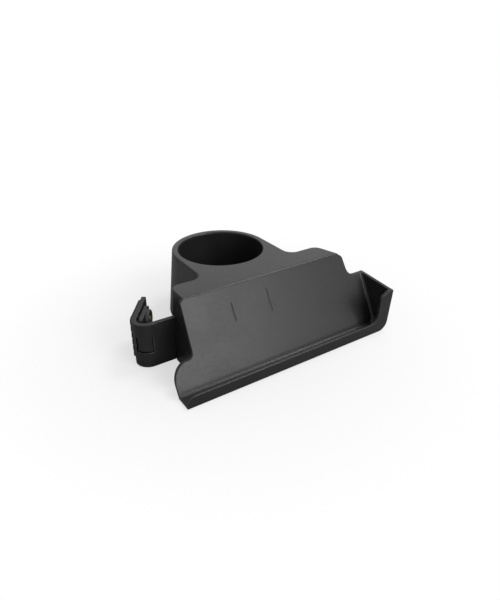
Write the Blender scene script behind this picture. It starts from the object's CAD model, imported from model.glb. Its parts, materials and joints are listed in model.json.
import json
import math

import bpy
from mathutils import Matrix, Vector


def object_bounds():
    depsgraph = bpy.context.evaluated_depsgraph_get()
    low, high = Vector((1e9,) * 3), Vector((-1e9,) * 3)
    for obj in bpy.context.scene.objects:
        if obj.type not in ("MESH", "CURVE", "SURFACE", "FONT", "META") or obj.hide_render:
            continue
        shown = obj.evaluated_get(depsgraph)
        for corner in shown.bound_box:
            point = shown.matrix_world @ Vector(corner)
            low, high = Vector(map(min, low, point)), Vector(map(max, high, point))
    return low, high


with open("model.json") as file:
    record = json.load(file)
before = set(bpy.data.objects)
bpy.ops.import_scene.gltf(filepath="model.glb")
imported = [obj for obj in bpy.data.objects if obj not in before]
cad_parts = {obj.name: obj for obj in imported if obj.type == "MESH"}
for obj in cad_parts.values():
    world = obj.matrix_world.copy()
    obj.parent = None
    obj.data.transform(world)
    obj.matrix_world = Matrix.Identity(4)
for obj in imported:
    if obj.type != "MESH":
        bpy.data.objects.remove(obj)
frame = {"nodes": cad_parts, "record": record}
cad_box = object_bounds()
mounts = {mount["name"]: mount for mount in frame["record"]["mounts"]}

# Middle of the cup well's mouth
WELL = Vector((*mounts["cup_well"]["pos_m"][:2], cad_box[1].z))

# The camera, seen from the well's mouth
CAMERA_PLACE = Vector((-0.2362, -0.4074, 0.198))
CAMERA_GAZE = Vector((0.4786, 0.7341, -0.4818))
FOCAL_LENGTH = 36.29
SENSOR_WIDTH = 36.0

# The surround: its even light, and how white shiny and clear pieces see it, 1 as the camera does
AMBIENT = 0.38
MIRRORED_SHARE = 0.12
WHITE = (1.0, 1.0, 1.0)

# Sockets of the node that mixes colours
FIRST_COLOUR, SECOND_COLOUR, MIXED_COLOUR = 6, 7, 2


class Value:
    """A socket of a shader that takes part in sums and products."""

    def __init__(self, nodes, socket):
        self.nodes = nodes
        self.socket = socket

    def __add__(self, other):
        return self.nodes.math("ADD", self, other)

    def __sub__(self, other):
        return self.nodes.math("SUBTRACT", self, other)

    def __rsub__(self, other):
        return self.nodes.math("SUBTRACT", other, self)

    def __mul__(self, other):
        return self.nodes.math("MULTIPLY", self, other)

    __radd__ = __add__
    __rmul__ = __mul__

    def clamp(self, low=0.0, high=1.0):
        return self.nodes.add("Clamp", {}, {"Value": self, "Min": low, "Max": high})

    def ramp(self, low, high):
        """0 at low, 1 at high, smooth between."""
        settings = {"interpolation_type": "SMOOTHSTEP"}
        return self.nodes.add("MapRange", settings, {"Value": self, "From Min": low, "From Max": high})


class Nodes:
    """The nodes of a material or of the surround."""

    def __init__(self, owner):
        owner.use_nodes = True
        self.tree = owner.node_tree

    def add(self, kind, settings, values, output=0):
        """A new node: its settings first, then what its sockets are fed with."""
        made = self.tree.nodes.new("ShaderNode" + kind)
        for key, setting in settings.items():
            setattr(made, key, setting)
        pairs = values.items() if isinstance(values, dict) else enumerate(values)
        for key, value in pairs:
            self.feed(made.inputs[key], value)
        return Value(self, made.outputs[output])

    def feed(self, socket, value):
        if isinstance(value, Value):
            self.tree.links.new(value.socket, socket)
        else:
            socket.default_value = value

    def math(self, operation, first, second):
        return self.add("Math", {"operation": operation}, [first, second])

    def blend(self, amount, first, second):
        """Two colours mixed, each three numbers or a value."""
        one, two = (colour if isinstance(colour, Value) else (*colour, 1.0) for colour in (first, second))
        inputs = {0: amount, FIRST_COLOUR: one, SECOND_COLOUR: two}
        return self.add("Mix", {"data_type": "RGBA"}, inputs, MIXED_COLOUR)

    def seen(self):
        """1 for what the camera sees straight, less for what shiny and clear pieces show of it."""
        straight = self.add("LightPath", {}, {}, "Is Camera Ray")
        glossy = self.add("LightPath", {}, {}, "Is Glossy Ray")
        through = self.add("LightPath", {}, {}, "Is Transmission Ray")
        return straight + self.math("MAXIMUM", glossy, through) * MIRRORED_SHARE


class Finish(Nodes):
    """A material built up from nodes."""

    def __init__(self, name):
        self.material = bpy.data.materials.new(name)
        super().__init__(self.material)
        self.shader = self.tree.nodes["Principled BSDF"]

    def set(self, **values):
        for key, value in values.items():
            self.feed(self.shader.inputs[key.replace("_", " ")], value)

    def place(self):
        """Where a point lies on its own object."""
        return self.add("TexCoord", {}, {}, "Object")

    def noise(self, place, scale, detail=3.0):
        return self.add("TexNoise", {}, {"Vector": place, "Scale": scale, "Detail": detail})

    def cells(self, place, scale):
        return self.add("TexVoronoi", {"feature": "F1"}, {"Vector": place, "Scale": scale})

    def stretch(self, place, scale):
        return self.add("Mapping", {}, {"Vector": place, "Scale": scale})

    def rounded(self, radius):
        """The normal with sharp edges softened by a radius."""
        return self.add("Bevel", {"samples": 6}, {"Radius": radius})

    def edges(self, radius):
        """1 on an outer edge or an inner corner, 0 on a plain surface."""
        flat = self.add("NewGeometry", {}, {}, "Normal")
        soft = self.rounded(radius)
        same = self.add("VectorMath", {"operation": "DOT_PRODUCT"}, [flat, soft], "Value")
        return (1.0 - same).ramp(0.01, 0.22)

    def relief(self, height, depth, strength, softened):
        """Raise and sink the surface by a height, over edges softened by a radius."""
        inputs = {"Strength": strength, "Distance": depth, "Height": height}
        inputs["Normal"] = self.rounded(softened)
        self.set(Normal=self.add("Bump", {}, inputs))


def moulded_plastic(name, dark, pale, roughness, grain):
    """Moulded plastic with a fine spark-eroded grain, handled and a little rubbed on its edges."""
    finish = Finish(name)
    place = finish.place()
    cloud = finish.noise(place, scale=38.0, detail=4.0).ramp(0.3, 0.7)
    mottle = finish.noise(place, scale=420.0).ramp(0.25, 0.75)
    speck = finish.cells(place, scale=2600.0)
    fine = finish.noise(place, scale=5200.0, detail=2.0)
    worn = finish.edges(0.0013) * finish.noise(place, scale=150.0, detail=4.0).ramp(0.0, 0.5)
    rubbed = [5.0 * part for part in pale]
    colour = finish.blend(cloud * 0.55 + mottle * 0.3, dark, pale)
    finish.set(Base_Color=finish.blend(worn * 0.8, colour, rubbed))
    finish.set(Roughness=(roughness + cloud * 0.05 - mottle * 0.05 - worn * 0.1).clamp())
    finish.relief(speck * 0.6 + fine * 0.4, depth=0.00006, strength=grain, softened=0.0012)
    return finish.material


def powder_coat(name):
    """Textured black powder coat on metal, with an orange-peel skin."""
    finish = Finish(name)
    place = finish.place()
    cloud = finish.noise(place, scale=60.0, detail=4.0).ramp(0.3, 0.7)
    peel = finish.noise(place, scale=1500.0)
    speck = finish.cells(place, scale=3200.0)
    worn = finish.edges(0.0008) * finish.noise(place, scale=210.0, detail=4.0).ramp(0.35, 0.65)
    colour = finish.blend(cloud, (0.010, 0.010, 0.0103), (0.017, 0.017, 0.0173))
    finish.set(Base_Color=finish.blend(worn * 0.85, colour, (0.2, 0.2, 0.2)))
    finish.set(Roughness=0.46 + cloud * 0.08 + speck * 0.05, Specular_IOR_Level=0.48)
    finish.relief(peel * 0.8 + speck * 0.3, depth=0.00005, strength=0.5, softened=0.0006)
    return finish.material


def soft_rubber(name):
    """Matt rubber with a dusty bloom and a fine ground surface."""
    finish = Finish(name)
    place = finish.place()
    bloom = finish.noise(place, scale=90.0, detail=5.0).ramp(0.35, 0.7)
    ground = finish.noise(place, scale=2400.0)
    dust = finish.edges(0.0007) * finish.noise(place, scale=500.0).ramp(0.3, 0.6)
    dusty = (bloom * 0.6 + dust * 0.4).clamp()
    finish.set(Base_Color=finish.blend(dusty, (0.016, 0.016, 0.017), (0.038, 0.037, 0.036)))
    finish.set(Roughness=0.82 + bloom * 0.1)
    finish.relief(ground, depth=0.00008, strength=0.5, softened=0.0004)
    return finish.material


def bare_metal(name, dark, pale, roughness):
    """Turned or plated metal, with fine tool lines and duller hollows."""
    finish = Finish(name)
    place = finish.place()
    tarnish = finish.noise(place, scale=320.0, detail=4.0).ramp(0.35, 0.7)
    turned = finish.noise(finish.stretch(place, (1.0, 1.0, 6.0)), scale=900.0, detail=2.0)
    rubbed = finish.edges(0.0003)
    dull = (tarnish * 0.7 - rubbed * 0.5).clamp()
    finish.set(Base_Color=finish.blend(dull, pale, dark), Metallic=1.0)
    finish.set(Roughness=(roughness + tarnish * 0.14 - rubbed * 0.1).clamp(low=0.05))
    finish.relief(turned, depth=0.00002, strength=0.4, softened=0.00015)
    return finish.material


def dress(material, *names):
    for name in names:
        for slot in frame["nodes"][name].material_slots:
            slot.material = material


def paint_pieces():
    screws = ["retainer_screw_%d" % number for number in range(1, 5)]
    inserts = ["insert_%d" % number for number in range(1, 5)]
    tray = moulded_plastic("tray_plastic", (0.0150, 0.0142, 0.0147), (0.0220, 0.0206, 0.0214), 0.37, 0.45)
    nut = moulded_plastic("knob_plastic", (0.020, 0.020, 0.021), (0.032, 0.032, 0.033), 0.5, 0.6)
    coat = powder_coat("arm_coat")
    rubber = soft_rubber("pad_rubber")
    steel = bare_metal("plated_steel", (0.30, 0.30, 0.31), (0.56, 0.56, 0.57), 0.26)
    brass = bare_metal("turned_brass", (0.36, 0.25, 0.10), (0.74, 0.58, 0.29), 0.24)
    dress(tray, "tray_body")
    dress(nut, "knob_upper", "knob_lower")
    dress(coat, "arm_strap", "jaw_plate")
    dress(rubber, "clamp_pad", "jaw_pad")
    dress(steel, "arm_retainer", "stud_upper", "stud_lower", *screws)
    dress(brass, "knob_bush_upper", "knob_bush_lower", *inserts)


def set_camera():
    data = bpy.data.cameras.new("photo_camera")
    data.sensor_fit = "HORIZONTAL"
    data.sensor_width = SENSOR_WIDTH
    data.lens = FOCAL_LENGTH
    data.shift_x = 0.01
    data.clip_start = 0.01
    camera = bpy.data.objects.new("photo_camera", data)
    bpy.context.scene.collection.objects.link(camera)
    camera.location = WELL + CAMERA_PLACE
    camera.rotation_euler = CAMERA_GAZE.to_track_quat("-Z", "Y").to_euler()
    bpy.context.scene.camera = camera


def floor_white():
    """White away from the object, shaded by it near by, and clear from below."""
    near, far = 0.08, 0.26
    least = 0.6
    finish = Finish("floor_white")
    seen = finish.seen()
    distance = finish.add("VectorMath", {"operation": "LENGTH"}, [finish.place()], "Value")
    finish.set(Base_Color=finish.blend(seen, (0.2, 0.2, 0.2), (0.9, 0.9, 0.9)))
    finish.set(Roughness=0.9, Specular_IOR_Level=0.0)
    shaded = Value(finish, finish.shader.outputs["BSDF"])
    white = finish.add("Emission", {}, {"Color": (*WHITE, 1.0), "Strength": 1.0})
    share = seen * (least + distance.ramp(near, far) * (1.0 - least))
    from_above = finish.add("MixShader", {}, [share, shaded, white])
    below = finish.add("NewGeometry", {}, {}, "Backfacing")
    clear = finish.add("BsdfTransparent", {}, {})
    surface = finish.add("MixShader", {}, [below, from_above, clear])
    finish.feed(finish.tree.nodes["Material Output"].inputs["Surface"], surface)
    return finish.material


def set_floor():
    reach = 30.0
    level = cad_box[0].z - 0.0004
    turns = ((-1, -1), (1, -1), (1, 1), (-1, 1))
    corners = [(reach * x, reach * y, level) for x, y in turns]
    mesh = bpy.data.meshes.new("floor")
    mesh.from_pydata(corners, [], [(0, 1, 2, 3)])
    mesh.materials.append(floor_white())
    floor = bpy.data.objects.new("floor", mesh)
    bpy.context.scene.collection.objects.link(floor)


def set_surround():
    """White to the camera, and a dim even light for the object."""
    world = bpy.data.worlds.new("surround")
    bpy.context.scene.world = world
    nodes = Nodes(world)
    background = nodes.tree.nodes["Background"]
    nodes.feed(background.inputs["Color"], (*WHITE, 1.0))
    nodes.feed(background.inputs["Strength"], AMBIENT + nodes.seen() * (1.0 - AMBIENT))


def soft_box(name, place, side, radiance):
    """A square lamp that looks at the object."""
    data = bpy.data.lights.new(name, "AREA")
    data.shape = "SQUARE"
    data.size = side
    data.energy = radiance * math.pi * side * side
    lamp = bpy.data.objects.new(name, data)
    bpy.context.scene.collection.objects.link(lamp)
    lamp.location = place
    lamp.rotation_euler = (-Vector(place)).to_track_quat("-Z", "Y").to_euler()


def light_studio():
    """One lamp each for the ridge and rims, the leaning face and the deck."""
    soft_box("above", (0.75, 0.0, 1.4), side=0.5, radiance=10.0)
    soft_box("front", (0.42, -1.5, 0.95), side=1.1, radiance=4.1)
    soft_box("behind", (0.8, 1.4, 1.0), side=1.4, radiance=0.52)
    bpy.context.scene.view_settings.view_transform = "Standard"


paint_pieces()
set_camera()
set_floor()
set_surround()
light_studio()
